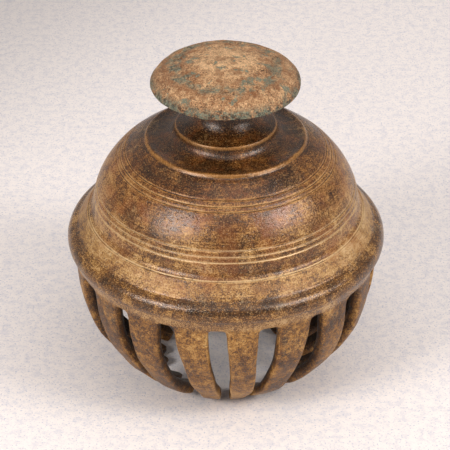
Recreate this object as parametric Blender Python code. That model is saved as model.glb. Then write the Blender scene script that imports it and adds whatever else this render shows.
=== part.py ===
"""Elephant claw bell: a domed bronze bell with a ring of claws below its flange and a
mushroom knob on its crown, and an iron clapper hung from a staple inside the crown.

Frame: metres, +Z up, origin on the floor under the bell's axis. The bell stands on its claw
tips. Azimuths are degrees from -Y towards +X.
"""
import math

import bmesh
import bpy
from mathutils import Vector

# Driving sizes
GAP = 0.0003                    # clearance between touching pieces
BELL_SIDES = 60                 # facets round the bell
KNOB_SIDES = 48
BALL_SIDES = 24

BAND_RADIUS = 0.0537            # outside of the band and of the claws
BAND_BOTTOM = 0.0487            # height at which the claws leave the band
WALL = 0.0040                   # thickness of the band and the claws
FLANGE_RADIUS = 0.0564          # widest radius, at the lip of the flange
FLANGE_HEIGHT = 0.0551          # height of that lip
DOME_RADIUS = 0.0470            # half width of the dome's oval section
DOME_RISE = 0.0340              # half height of that section
DOME_BASE = 0.0670              # height of its centre
DOME_INNER_RADIUS = 0.0432
DOME_INNER_RISE = 0.0280

CROWN_EDGE_RADIUS = 0.0282      # raised edge round the crown
CROWN_EDGE_HEIGHT = 0.0942
SEAT_RADIUS = 0.0180            # seat of the neck on the crown
SEAT_HEIGHT = 0.0972
BOSS_RADIUS = 0.0095            # boss inside the crown, which holds the staple
BOSS_BOTTOM = 0.0905

NECK_TABLE_RADIUS = 0.0177      # lowest edge of the neck
NECK_TABLE_HEIGHT = 0.0998
NECK_RADIUS = 0.0096            # waist of the neck, where a rope goes
NECK_TOP = 0.1122
KNOB_RADIUS = 0.0260
KNOB_RIM_HEIGHT = 0.1147
KNOB_RISE = 0.0096              # crown of the knob above its rim

CLAW_COUNT = 18
CLAW_TURN = 6.1                 # azimuth of the first claw's centre
CLAW_CENTRE_HEIGHT = 0.0460     # centre of the round basket that the claws make
CLAW_TOP_ANGLE = 12.4           # width of a claw at the band, seen from the axis
CLAW_DROP = 0.05195             # half height of the basket, which is a little flat below
CLAW_TAPER = 0.13               # share of its width that a claw loses
CLAW_TAPER_END = 16.0           # angle below the basket's centre by which it is lost
CLAW_TIP_DEPTH = 64.0           # angle of the tip below the basket's centre
CLAW_TIP_ROUND = 5.0            # angle over which the tip rounds off
CLAW_EDGE = 0.0007              # chamfer along a claw's edges

WIRE = 0.0016                   # radius of the staple's iron
LINK_WIRE = 0.0015              # radius of the link's and the rod's iron
STAPLE_BEND = 0.0055            # radius of the staple's bend, at the middle of the wire
STAPLE_AXIS = 0.0845            # height of the pivot in the staple's bend
STAPLE_LEG_TOP = 0.0946
LINK_RADIUS = 0.0065            # the link, at the middle of the wire
EYE_RADIUS = 0.0045             # the rod's eye, at the middle of the wire
BALL_RADIUS = 0.0085
BALL_HEIGHT = 0.0299            # centre of the clapper's ball at rest
BALL_BORE = 0.0019

LINK_TOP = STAPLE_AXIS + WIRE + GAP + LINK_WIRE
LINK_CENTRE = LINK_TOP - LINK_RADIUS
ROD_AXIS = LINK_CENTRE - LINK_RADIUS
EYE_TOP = ROD_AXIS + LINK_WIRE + GAP + LINK_WIRE
EYE_CENTRE = EYE_TOP - EYE_RADIUS


def clear_scene():
    for thing in list(bpy.data.objects):
        bpy.data.objects.remove(thing, do_unlink=True)


def metal(name, colour, roughness, metallic):
    material = bpy.data.materials.new(name)
    material.use_nodes = True
    shader = material.node_tree.nodes["Principled BSDF"]
    shader.inputs["Base Color"].default_value = (*colour, 1.0)
    shader.inputs["Roughness"].default_value = roughness
    shader.inputs["Metallic"].default_value = metallic
    return material


def oval(centre_r, centre_z, half_r, half_z, start, end, steps):
    """Points along an oval, from start to end in degrees; 90 is straight up."""
    points = []
    for step in range(steps + 1):
        angle = math.radians(start + (end - start) * step / steps)
        points.append((centre_r + half_r * math.cos(angle), centre_z + half_z * math.sin(angle)))
    return points


def sweep(start, bend, end, steps):
    """Points along a smooth sweep from start to end, drawn towards bend."""
    points = []
    for step in range(steps + 1):
        t = step / steps
        points.append(tuple((1 - t) ** 2 * a + 2 * t * (1 - t) * b + t * t * c
                            for a, b, c in zip(start, bend, end)))
    return points


def oval_angle(radius, half_r):
    """The angle at which an oval round the axis has this radius."""
    return math.degrees(math.acos(radius / half_r))


def add_object(name, mesh, material, sharp=40.0):
    mesh.materials.append(material)
    mesh.shade_smooth()
    mesh.set_sharp_from_angle(angle=math.radians(sharp))
    thing = bpy.data.objects.new(name, mesh)
    bpy.context.collection.objects.link(thing)
    return thing


def turned(name, outline, material, sides, closed=False):
    """A piece turned about Z from (radius, height) points, outside first and from the top down."""
    shape = bmesh.new()
    verts = [shape.verts.new((r, 0.0, z)) for r, z in outline]
    edges = [shape.edges.new(pair) for pair in zip(verts, verts[1:])]
    if closed:
        edges.append(shape.edges.new((verts[-1], verts[0])))
    bmesh.ops.spin(shape, geom=verts + edges, cent=(0, 0, 0), axis=(0, 0, 1),
                   angle=math.tau, steps=sides, use_merge=True)
    bmesh.ops.remove_doubles(shape, verts=shape.verts, dist=1e-6)
    bmesh.ops.recalc_face_normals(shape, faces=shape.faces)
    mesh = bpy.data.meshes.new(name)
    shape.to_mesh(mesh)
    shape.free()
    return add_object(name, mesh, material)


def wire(name, points, radius, material, cyclic=False, swell=None):
    """A round bar bent along points; swell gives the first points a bigger radius."""
    curve = bpy.data.curves.new(name, "CURVE")
    curve.dimensions = "3D"
    curve.bevel_depth = radius
    curve.bevel_resolution = 3
    curve.use_fill_caps = True
    spline = curve.splines.new("POLY")
    spline.points.add(len(points) - 1)
    for index, (point, place) in enumerate(zip(spline.points, points)):
        point.co = (*place, 1.0)
        if swell and index < len(swell):
            point.radius = swell[index]
    spline.use_cyclic_u = cyclic
    spline.use_smooth = True
    curve.materials.append(material)
    thing = bpy.data.objects.new(name, curve)
    bpy.context.collection.objects.link(thing)
    return thing


def cut(thing, cutters):
    """Takes the cutters out of thing."""
    for cutter in cutters:
        cutter.hide_render = True
        cutter.display_type = "WIRE"
        hole = thing.modifiers.new("hole", "BOOLEAN")
        hole.operation = "DIFFERENCE"
        hole.solver = "EXACT"
        hole.object = cutter


def rod_cutter(name, x, y, bottom, top, radius):
    shape = bmesh.new()
    bmesh.ops.create_cone(shape, cap_ends=True, segments=16, radius1=radius, radius2=radius,
                          depth=top - bottom)
    bmesh.ops.translate(shape, verts=shape.verts, vec=(x, y, (top + bottom) / 2))
    mesh = bpy.data.meshes.new(name)
    shape.to_mesh(mesh)
    shape.free()
    thing = bpy.data.objects.new(name, mesh)
    bpy.context.collection.objects.link(thing)
    return thing


def make_dome(bronze):
    """Crown, dome, flange and band: one hollow shell, open below."""
    crown = [(0.0, SEAT_HEIGHT), (SEAT_RADIUS, SEAT_HEIGHT)]
    dish = sweep((SEAT_RADIUS + 0.0004, SEAT_HEIGHT - 0.0005), (SEAT_RADIUS + 0.0024, 0.0946),
                 (CROWN_EDGE_RADIUS - 0.0012, CROWN_EDGE_HEIGHT + 0.0010), 5)
    edge = oval(CROWN_EDGE_RADIUS - 0.0010, CROWN_EDGE_HEIGHT, 0.0010, 0.0010, 75, -10, 3)
    first = oval_angle(CROWN_EDGE_RADIUS + 0.0008, DOME_RADIUS)
    dome = oval(0.0, DOME_BASE, DOME_RADIUS, DOME_RISE, first, 3, 12)
    skirt = sweep((0.0471, 0.0680), (0.0474, 0.0668), (0.0489, 0.0656), 2)
    roll = sweep((0.0525, 0.0606), (0.0550, 0.0577), (FLANGE_RADIUS, FLANGE_HEIGHT), 4)
    lip = [(FLANGE_RADIUS - 0.0001, FLANGE_HEIGHT - 0.0009), (0.0556, 0.0538)]
    band = sweep((0.0550, 0.0526), (0.0545, 0.0510), (BAND_RADIUS, BAND_BOTTOM), 2)
    outside = crown + dish + edge + dome + skirt + roll + lip + band

    inner_band = BAND_RADIUS - WALL
    inside = [(inner_band, BAND_BOTTOM)]
    inside += sweep((inner_band, 0.0570), (0.0478, 0.0618), (0.0440, 0.0650), 3)
    inside += oval(0.0, DOME_BASE, DOME_INNER_RADIUS, DOME_INNER_RISE, 3,
                   oval_angle(BOSS_RADIUS + 0.0022, DOME_INNER_RADIUS), 8)
    inside += [(BOSS_RADIUS, BOSS_BOTTOM), (0.0, BOSS_BOTTOM)]
    bell = turned("bell_dome", outside + inside, bronze, BELL_SIDES)
    legs = [rod_cutter("leg_hole_%d" % side, side * STAPLE_BEND, 0.0, BOSS_BOTTOM - 0.002,
                       STAPLE_LEG_TOP + GAP, WIRE + GAP) for side in (-1, 1)]
    cut(bell, legs)
    return bell


def make_neck(bronze):
    """The waisted neck between the crown and the knob, where the rope is tied."""
    table = NECK_TABLE_RADIUS
    outline = [(0.0, NECK_TOP), (NECK_RADIUS + 0.0014, NECK_TOP)]
    outline += sweep((NECK_RADIUS + 0.0006, NECK_TOP - 0.0012), (NECK_RADIUS - 0.0004, 0.1078),
                     (NECK_RADIUS + 0.0004, 0.1052), 3)
    outline += sweep((NECK_RADIUS + 0.0008, 0.1042), (NECK_RADIUS + 0.0020, 0.1005),
                     (table - 0.0016, NECK_TABLE_HEIGHT), 4)
    outline += oval(table - 0.0009, NECK_TABLE_HEIGHT - 0.0009, 0.0009, 0.0009, 70, -10, 3)
    bottom = SEAT_HEIGHT + GAP
    outline += [(SEAT_RADIUS - 0.0002, bottom), (0.0, bottom)]
    return turned("knob_neck", outline, bronze, KNOB_SIDES)


def make_knob(crust):
    """The mushroom cap of the knob."""
    underside = NECK_TOP + GAP
    outline = oval(0.0, KNOB_RIM_HEIGHT, KNOB_RADIUS, KNOB_RISE, 90, 6, 12)
    outline += [(KNOB_RADIUS, KNOB_RIM_HEIGHT - 0.0002), (KNOB_RADIUS - 0.0005, KNOB_RIM_HEIGHT - 0.0011),
                (KNOB_RADIUS - 0.0020, KNOB_RIM_HEIGHT - 0.0016),
                (NECK_RADIUS + 0.0020, underside), (0.0, underside)]
    outline[0] = (0.0, KNOB_RIM_HEIGHT + KNOB_RISE)
    return turned("knob_cap", outline, crust, KNOB_SIDES)


def claw_section(depth, narrowing):
    """Corner (azimuth, radius) pairs of a claw's section at an angle below the basket's centre."""
    lost = CLAW_TAPER * min(max(depth / CLAW_TAPER_END, 0.0), 1.0)
    share = (1 - lost) * narrowing
    half = CLAW_TOP_ANGLE / 2 * share
    flat = half * 0.80
    outer = BAND_RADIUS
    inner = BAND_RADIUS - WALL
    edge = CLAW_EDGE
    return [(-half, inner + edge), (-half, outer - edge), (-flat, outer), (flat, outer),
            (half, outer - edge), (half, inner + edge), (flat, inner), (-flat, inner)]


def make_claw(name, azimuth, bronze):
    """One claw: a strip of the round basket, tapering to a blunt tip and worn flat under it."""
    top = -math.degrees(math.asin((BAND_BOTTOM - GAP - CLAW_CENTRE_HEIGHT) / CLAW_DROP))
    straight = CLAW_TIP_DEPTH - CLAW_TIP_ROUND
    stations = [(top + (straight - top) * step / 8, 1.0) for step in range(9)]
    stations += [(straight + CLAW_TIP_ROUND * math.sin(math.radians(turn)),
                  math.cos(math.radians(turn))) for turn in (30, 55, 78)]
    shape = bmesh.new()
    rings = []
    for depth, narrowing in stations:
        ring = []
        for turn, radius in claw_section(depth, narrowing):
            down = math.radians(depth)
            round_ = math.radians(azimuth + turn)
            out = radius * math.cos(down)
            height = CLAW_CENTRE_HEIGHT - (radius - BAND_RADIUS + CLAW_DROP) * math.sin(down)
            ring.append(shape.verts.new((out * math.sin(round_), -out * math.cos(round_), height)))
        rings.append(ring)
    for near, far in zip(rings, rings[1:]):
        for a, b, c, d in zip(near, near[1:] + near[:1], far[1:] + far[:1], far):
            shape.faces.new((a, b, c, d))
    shape.faces.new(rings[0])
    shape.faces.new(rings[-1])
    for vert in rings[0]:
        vert.co.z = BAND_BOTTOM - GAP
    parts = shape.verts[:] + shape.edges[:] + shape.faces[:]
    worn = bmesh.ops.bisect_plane(shape, geom=parts, plane_co=(0, 0, 0), plane_no=(0, 0, -1),
                                  clear_outer=True)
    rim = [part for part in worn["geom_cut"] if isinstance(part, bmesh.types.BMEdge)]
    bmesh.ops.edgenet_fill(shape, edges=rim)
    bmesh.ops.recalc_face_normals(shape, faces=shape.faces)
    mesh = bpy.data.meshes.new(name)
    shape.to_mesh(mesh)
    shape.free()
    return add_object(name, mesh, bronze, 35.0)


def ring_points(centre, radius, first, second, start, turn, steps):
    """Points round a circle in the plane of two directions, from start through turn degrees."""
    points = []
    for step in range(steps + 1):
        angle = math.radians(start + turn * step / steps)
        points.append(Vector(centre) + radius * (Vector(first) * math.cos(angle)
                                                 + Vector(second) * math.sin(angle)))
    return points


def hang(name, pivot, pieces):
    """Puts pieces under an empty that stands on their joint's axis."""
    holder = bpy.data.objects.new(name, None)
    holder.location = pivot
    bpy.context.collection.objects.link(holder)
    for piece in pieces:
        piece.parent = holder
        piece.location = -Vector(pivot)
    return holder


def make_staple(iron):
    """The staple: a U of iron bar with both legs set in the crown's boss."""
    bend_centre = STAPLE_AXIS + STAPLE_BEND
    bend = ring_points((0, 0, bend_centre), STAPLE_BEND, (1, 0, 0), (0, 0, 1), 180, 180, 12)
    legs = [Vector((side * STAPLE_BEND, 0, STAPLE_LEG_TOP)) for side in (-1, 1)]
    return wire("clapper_staple", [legs[0], *bend, legs[1]], WIRE, iron)


def make_link(iron):
    """The link, which hangs in the staple and carries the rod."""
    turn = 360 * 23 / 24
    points = ring_points((0, 0, LINK_CENTRE), LINK_RADIUS, (0, 1, 0), (0, 0, 1), 0, turn, 23)
    link = wire("clapper_link", points, LINK_WIRE, iron, cyclic=True)
    hang("link_pivot", (0, 0, STAPLE_AXIS), [link])


def make_clapper(iron, ball_iron):
    """The rod with its open eye and its burred-over end, and the ball on it."""
    head = BALL_HEIGHT - BALL_RADIUS - GAP - 0.0002
    rod = [(0, 0, head - 0.0014), (0, 0, head), (0, 0, head + 0.0001)]
    rod += [(0, 0, BALL_HEIGHT), (0, 0, EYE_CENTRE - EYE_RADIUS - 0.0030)]
    shoulder = [(side, 0, height) for side, height in
                sweep((0.0, EYE_CENTRE - EYE_RADIUS - 0.0030),
                      (0.0, EYE_CENTRE - EYE_RADIUS - 0.0004),
                      (EYE_RADIUS * math.cos(math.radians(-52)),
                       EYE_CENTRE + EYE_RADIUS * math.sin(math.radians(-52))), 4)][1:-1]
    eye = ring_points((0, 0, EYE_CENTRE), EYE_RADIUS, (1, 0, 0), (0, 0, 1), -52, 268, 18)
    swell = [1.9, 1.9, 1.0]
    rod_piece = wire("clapper_rod", rod + shoulder + eye, LINK_WIRE, iron, swell=swell)
    # The ball is turned with a bore through it for the rod.
    first = math.degrees(math.acos(BALL_BORE / BALL_RADIUS))
    outline = oval(0.0, BALL_HEIGHT, BALL_RADIUS, BALL_RADIUS, first, -first, 14)
    ball = turned("clapper_ball", outline, ball_iron, BALL_SIDES, closed=True)
    hang("rod_pivot", (0, 0, ROD_AXIS), [rod_piece, ball])


def main():
    clear_scene()
    bronze = metal("bronze", (0.23, 0.135, 0.065), 0.52, 0.75)
    crust = metal("knob_crust", (0.36, 0.22, 0.12), 0.85, 0.25)
    iron = metal("iron", (0.10, 0.075, 0.06), 0.75, 0.60)
    make_dome(bronze)
    make_neck(bronze)
    make_knob(crust)
    for number in range(CLAW_COUNT):
        azimuth = CLAW_TURN + number * 360 / CLAW_COUNT
        make_claw("claw_%02d" % (number + 1), azimuth, bronze)
    make_staple(iron)
    make_link(iron)
    make_clapper(iron, iron)


main()
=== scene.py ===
"""Elephant claw bell: the finished pieces, their surfaces and a plain studio round the fixed frame.

Each operator makes one piece, or one group of like pieces, in the frame's own metres.
"""
import math

import bpy
import numpy as np
from bpy.props import FloatProperty, FloatVectorProperty, PointerProperty
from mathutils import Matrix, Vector


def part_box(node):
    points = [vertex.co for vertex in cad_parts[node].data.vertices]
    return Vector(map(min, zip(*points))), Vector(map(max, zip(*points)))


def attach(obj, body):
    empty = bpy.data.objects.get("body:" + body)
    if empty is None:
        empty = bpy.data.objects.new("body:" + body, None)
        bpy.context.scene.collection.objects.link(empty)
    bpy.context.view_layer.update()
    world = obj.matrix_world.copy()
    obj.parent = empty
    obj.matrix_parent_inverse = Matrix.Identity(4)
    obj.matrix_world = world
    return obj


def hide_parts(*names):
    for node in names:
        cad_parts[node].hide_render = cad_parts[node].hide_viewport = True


bl_info = {
    "name": "Claw Bell",
    "version": (1, 0, 0),
    "blender": (4, 5, 0),
    "location": "View3D > Sidebar > Claw Bell",
    "description": "Makes a bronze claw bell with a mushroom knob and an iron clapper",
    "category": "Object",
}

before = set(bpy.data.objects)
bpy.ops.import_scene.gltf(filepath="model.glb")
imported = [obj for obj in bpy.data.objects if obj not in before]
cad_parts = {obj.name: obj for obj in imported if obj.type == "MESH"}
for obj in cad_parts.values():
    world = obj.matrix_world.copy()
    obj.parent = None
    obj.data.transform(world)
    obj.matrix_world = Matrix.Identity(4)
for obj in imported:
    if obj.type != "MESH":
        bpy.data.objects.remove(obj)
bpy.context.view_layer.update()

MM = 0.001

# Places read from the frame
DOME_LOW, DOME_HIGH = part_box("bell_dome")
KNOB_LOW, KNOB_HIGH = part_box("knob_cap")
NECK_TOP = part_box("knob_neck")[1].z
STAPLE_LOW, STAPLE_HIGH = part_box("clapper_staple")
LINK_LOW, LINK_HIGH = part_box("clapper_link")
ROD_LOW, ROD_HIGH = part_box("clapper_rod")
BALL_LOW, BALL_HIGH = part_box("clapper_ball")
CLAWS = sorted(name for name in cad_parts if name.startswith("claw_"))

# The casting: a dome on a rolled flange and a band, with a basket of claws below it
FLANGE_RADIUS = DOME_HIGH.x
BAND_BOTTOM = DOME_LOW.z
BAND_RADIUS = FLANGE_RADIUS - 0.0027
DOME_BASE = BAND_BOTTOM + 0.0183    # height of the centre of the dome's oval
BASKET_CENTRE = BAND_BOTTOM - 0.0027
BASKET_DROP = 0.05195               # half height of the basket, a little less than its radius
FIRST_CLAW = 6.1                    # azimuth of the first claw: degrees from -Y towards +X
CLAW_ROWS = 12                      # rows of a claw above its tip
SECTOR_STEPS = 8                    # columns in one claw and the gap beside it
CLAW_STEPS = 5                      # columns in the claw
CLAW_PITCH = 360.0 / len(CLAWS)
CLAW_HALF = CLAW_PITCH * CLAW_STEPS / SECTOR_STEPS / 2

# The claws were cut by eye: each one's place, lean and extra width, in degrees
CLAW_PLACES = (0.2, 0.4, -0.9, 0.5, -0.4, 0.9, -0.7, 0.3, 0.8, -0.5, 0.6, -0.9, 0.2, 0.7, -0.6,
               2.2, 1.3, 0.8)
CLAW_LEANS = (1.0, -1.9, 1.6, -1.0, 0.9, -1.5, 1.2, 0.4, -0.9, 1.4, -0.6, 1.1, -1.3, 0.7, -0.4,
              2.2, 0.2, 2.4)
CLAW_WIDTHS = (-0.4, 0.7, 0.6, -0.3, 0.5, 0.0, 0.6, -0.4, 0.3, 0.5, -0.2, 0.4, 0.0, 0.6, -0.3,
               0.7, 0.9, 0.4)
LEAN_GAIN = 1.7
LEAN_START = math.radians(-3)       # depths between which a claw's lean sets in
LEAN_END = math.radians(45)
STRAY_DEPTH = 5.0 * MM              # the part of the band that strays with the claws
TIP_ROUND = math.radians(5.0)       # angle over which a claw's tip rounds off
TAPER_END = math.radians(16.0)      # angle below the basket's centre by which a claw is tapered

# Engraved lines: height in metres, half width of the pale dust in millimetres, and how broken it is
ENGRAVED = [(0.0895, 0.20, 0.38), (0.0880, 0.30, 0.22), (0.0867, 0.26, 0.28),
            (0.0759, 0.36, 0.28), (0.0738, 0.36, 0.22), (0.0718, 0.50, 0.18),
            (0.0659, 0.40, 0.20)]

# Low rings on the knob and the hollow between them: radius, width and height
KNOB_RIDGES = ((0.0148, 0.0010, 0.00030), (0.0175, 0.0014, -0.00040), (0.0204, 0.0010, 0.00028))

# The studio
CAMERA_TILT = math.radians(32.4)
CAMERA_REACH = 0.727
CAMERA_ASIDE = -0.28 * MM
CAMERA_LENS = 163.0                 # millimetres, on a sensor 36 mm wide
AIM_HEIGHT = 0.0576
FLOOR_SIZE = 6.0
SKY_COLOUR = (1.0, 0.96, 0.94)
SKY_STRENGTH = 0.46
LAMP_COLOUR = (1.0, 0.97, 0.94)
# Name, azimuth and elevation in degrees, distance, size and power
LAMPS = (("left_softbox", -47, 32, 1.0, 0.32, 6.6), ("right_softbox", 61, 36, 1.0, 0.32, 5.8),
         ("overhead_softbox", 20, 66, 1.1, 0.90, 3.2))


# ---- sizes and colours

def length(name, description, value, least, most):
    return FloatProperty(name=name, description=description, default=value, min=least,
                         max=most, subtype="DISTANCE", unit="LENGTH")


class BellSizes(bpy.types.PropertyGroup):
    """Sizes that a maker would change without leaving the frame."""
    wall: length("Wall", "Thickness of the band and the claws", 0.0040, 0.002, 0.006)
    groove_depth: length("Groove depth", "Depth of the engraved lines", 0.00038, 0.0, 0.001)
    groove_width: length("Groove width", "Half width of an engraved line", 0.00026, 0.0001, 0.001)
    claw_taper: FloatProperty(
        name="Claw taper", description="Share of its width that a claw loses below the band",
        default=0.13, min=0.0, max=0.5, subtype="FACTOR")
    tip_angle: FloatProperty(
        name="Tip depth", description="Angle of the claw tips below the basket's centre",
        default=math.radians(64.0), subtype="ANGLE", unit="ROTATION")
    lumps: length("Lumps", "Depth of the casting's broad unevenness", 0.00035, 0.0, 0.002)
    claw_sway: length("Claw sway", "How far the claws bend from a true curve", 0.0016, 0.0, 0.008)
    crust: length("Crust", "Depth of the knob's corroded crust", 0.0013, 0.0, 0.003)


def colour(name, description, value):
    return FloatVectorProperty(name=name, description=description, default=value,
                               size=3, min=0.0, max=1.0, subtype="COLOR")


class BellColours(bpy.types.PropertyGroup):
    """Colours of the surfaces, scene linear."""
    umber: colour("Umber", "Dark patina in hollows", (0.016, 0.0065, 0.0018))
    brown: colour("Brown", "Worn brown patina of the dome", (0.150, 0.060, 0.014))
    rust: colour("Rust", "Red-brown streaks", (0.260, 0.078, 0.014))
    ochre: colour("Ochre", "Dry ochre of the claws and the flange", (0.330, 0.165, 0.034))
    pale: colour("Pale wear", "Worn edges and dust in the engraved lines", (0.600, 0.410, 0.210))
    tan: colour("Tan", "Crust of the knob", (0.580, 0.280, 0.118))
    verdigris: colour("Verdigris", "Grey-green copper salts", (0.175, 0.215, 0.155))
    iron: colour("Iron", "Forged iron under its rust", (0.060, 0.040, 0.030))
    paper: colour("Paper", "The studio floor", (0.830, 0.770, 0.745))


# ---- modelling helpers
# Without a window, spin and rotate turn the other way from the right-hand rule.

def mode(name):
    bpy.ops.object.mode_set(mode=name)


def select_all(action="SELECT"):
    bpy.ops.mesh.select_all(action=action)


def name_piece(name):
    """Names the new object and its mesh."""
    piece = bpy.context.object
    piece.name = name
    piece.data.name = name
    return piece


def start_piece(name):
    """Selects nothing and adds the one vertex that a piece is drawn from, left in edit mode."""
    bpy.ops.object.select_all(action="DESELECT")
    bpy.ops.mesh.primitive_plane_add(size=MM)
    piece = name_piece(name)
    mode("EDIT")
    bpy.ops.mesh.select_mode(type="VERT")
    select_all()
    bpy.ops.mesh.merge(type="CENTER")
    return piece


def draw_line(points, vertex=(0, 0, 0)):
    """Moves the selected vertex to the first point and extrudes it through the others."""
    bpy.ops.transform.translate(value=Vector(points[0]) - Vector(vertex))
    for here, there in zip(points, points[1:]):
        bpy.ops.mesh.extrude_vertices_move(
            TRANSFORM_OT_translate={"value": Vector(there) - Vector(here)})


def select_where(piece, test, kind="VERT"):
    """In edit mode, selects exactly the vertices or faces whose place passes the test."""
    bpy.ops.mesh.select_mode(type=kind)
    select_all("DESELECT")
    mode("OBJECT")
    for item in piece.data.vertices if kind == "VERT" else piece.data.polygons:
        item.select = test(item.co if kind == "VERT" else item.center)
    mode("EDIT")


def at_azimuth(radius, height, degrees):
    """The point at a radius and height, with its azimuth in degrees from -Y towards +X."""
    turn = math.radians(degrees)
    return (radius * math.sin(turn), -radius * math.cos(turn), height)


def reach_of(point):
    """Distance from the axis."""
    return math.hypot(point.x, point.y)


def azimuth_of(point):
    return math.degrees(math.atan2(point.x, -point.y))


def oval(radius, rise, base, start, end, steps):
    """(radius, height) points on an oval, between two angles in degrees above its centre."""
    angles = [math.radians(start + (end - start) * step / steps) for step in range(steps + 1)]
    return [(radius * math.cos(angle), base + rise * math.sin(angle)) for angle in angles]


def sweep(start, bend, end, steps):
    """(radius, height) points along a smooth sweep from start to end, drawn towards bend."""
    points = []
    for step in range(steps + 1):
        t = step / steps
        points.append(tuple((1 - t) ** 2 * a + 2 * t * (1 - t) * b + t * t * c
                            for a, b, c in zip(start, bend, end)))
    return points


def with_grooves(points, heights, half_width, depth):
    """The outline, from the top down, with an engraved line sunk into it at each height."""
    result = list(points)
    for height in heights:
        after = next(i for i, point in enumerate(result) if point[1] < height)
        (r0, z0), (r1, z1) = result[after - 1], result[after]
        share = (z0 - height) / (z0 - z1)
        middle = Vector((r0 + (r1 - r0) * share, height))
        along = Vector((r1 - r0, z1 - z0)).normalized()
        inward = Vector((along.y, -along.x))
        shore, lip = 2.2 * half_width * along, half_width * along
        line = [middle - shore, middle - lip, middle + depth * inward, middle + lip,
                middle + shore]
        near = 3.2 * half_width
        result = ([p for p in result[:after] if (Vector(p) - middle).length > near]
                  + [tuple(p) for p in line]
                  + [p for p in result[after:] if (Vector(p) - middle).length > near])
    return result


def turn_outline(points, steps):
    """In edit mode, draws an outline at -Y and turns it once round the axis."""
    draw_line([at_azimuth(r, z, 0.0) for r, z in points])
    select_all()
    bpy.ops.mesh.spin(steps=steps, angle=math.tau, center=(0, 0, 0), axis=(0, 0, 1))
    close_up()


def close_up():
    """Merges seams and poles, turns the faces outwards and returns to object mode."""
    select_all()
    bpy.ops.mesh.remove_doubles(threshold=1e-6)
    bpy.ops.mesh.normals_make_consistent(inside=False)
    mode("OBJECT")


def apply_modifiers(piece):
    bpy.context.view_layer.objects.active = piece
    for modifier in list(piece.modifiers):
        bpy.ops.object.modifier_apply(modifier=modifier.name)


def subdivide(piece, levels):
    smooth = piece.modifiers.new("smooth", "SUBSURF")
    smooth.levels = levels
    smooth.render_levels = levels


def roughen(piece, name, size, depth, detail=2, direction="NORMAL", group=""):
    """Uneven surface from a cloud pattern in the piece's own space."""
    pattern = bpy.data.textures.get(name) or bpy.data.textures.new(name, "CLOUDS")
    pattern.noise_scale = size
    pattern.noise_depth = detail
    pattern.cloud_type = "COLOR" if direction == "RGB_TO_XYZ" else "GRAYSCALE"
    uneven = piece.modifiers.new(name, "DISPLACE")
    uneven.texture = pattern
    uneven.texture_coords = "LOCAL"
    uneven.direction = direction
    uneven.strength = depth
    uneven.mid_level = 0.5
    uneven.vertex_group = group


def read_all(items, field, width, kind=float):
    """One field of all the items, a row for each."""
    values = np.empty(len(items) * width, dtype=kind)
    items.foreach_get(field, values)
    return values.reshape(-1, width)


def mark_edges(piece, smoothing=1):
    """Writes how sharply each vertex stands out, or lies in a hollow, in turns per millimetre."""
    mesh = piece.data
    count = len(mesh.vertices)
    places = read_all(mesh.vertices, "co", 3) / MM
    normals = read_all(mesh.vertex_normals, "vector", 3)
    ends = read_all(mesh.edges, "vertices", 2, int)
    ends = np.vstack([ends, ends[:, ::-1]])
    steps = places[ends[:, 1]] - places[ends[:, 0]]
    bends = -2 * (steps * normals[ends[:, 0]]).sum(axis=1) / (steps ** 2).sum(axis=1)
    share = np.bincount(ends[:, 0], minlength=count)
    value = np.bincount(ends[:, 0], weights=bends, minlength=count) / share
    for _ in range(smoothing):
        around = np.bincount(ends[:, 0], weights=value[ends[:, 1]], minlength=count) / share
        value = (value + around) / 2
    mark = mesh.attributes.new("edge", "FLOAT", "POINT")
    mark.data.foreach_set("value", value.astype(np.float32))


def finish_piece(piece, material, body, nodes):
    """Smooth shading, a finish, and its place in the frame."""
    bpy.ops.object.select_all(action="DESELECT")
    piece.select_set(True)
    bpy.context.view_layer.objects.active = piece
    bpy.ops.object.shade_smooth()
    piece.data.materials.clear()
    piece.data.materials.append(material)
    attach(piece, body)
    if nodes:
        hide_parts(*nodes)


# ---- shader helpers

FLOAT = "NodeSocketFloat"
VECTOR = "NodeSocketVector"


def add(tree, kind, inputs=None, **settings):
    """Adds a node; inputs are values, or sockets to link, by the name or number of the input."""
    made = tree.nodes.new(kind)
    for key, value in settings.items():
        setattr(made, key, value)
    for key, value in (inputs or {}).items():
        if isinstance(value, bpy.types.NodeSocket):
            tree.links.new(value, made.inputs[key])
        else:
            made.inputs[key].default_value = value
    return made


def maths(tree, operation, a, b=0.0, clamp=False):
    made = add(tree, "ShaderNodeMath", {0: a, 1: b}, operation=operation, use_clamp=clamp)
    return made.outputs[0]


def vector_maths(tree, operation, inputs):
    made = add(tree, "ShaderNodeVectorMath", inputs, operation=operation)
    return made.outputs["Value" if operation == "LENGTH" else "Vector"]


def upright(tree, height):
    return add(tree, "ShaderNodeCombineXYZ", {0: 0.0, 1: 0.0, 2: height}).outputs[0]


def noise(tree, point, scale, detail, roughness=0.5, warp=0.0):
    """Fractal noise round 0.5, with 1 / scale as the size of its largest patches."""
    return add(tree, "ShaderNodeTexNoise",
               {"Vector": point, "Scale": scale, "Detail": detail, "Roughness": roughness,
                "Distortion": warp}).outputs[0]


def attribute(tree, name):
    return add(tree, "ShaderNodeAttribute", attribute_name=name).outputs["Fac"]


def remap(tree, value, low, high, to_low=0.0, to_high=1.0):
    made = add(tree, "ShaderNodeMapRange",
               {0: value, 1: low, 2: high, 3: to_low, 4: to_high},
               interpolation_type="SMOOTHSTEP")
    return made.outputs[0]


def named(colours, names):
    return [tuple(getattr(colours, name)) for name in names.split()]


def tint(shade, factors):
    """A colour with its channels multiplied, by one factor or by one each, up to 1."""
    if isinstance(factors, float):
        factors = (factors, factors, factors)
    return tuple(min(channel * factor, 1.0) for channel, factor in zip(shade, factors))


# ---- shared effects

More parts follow.
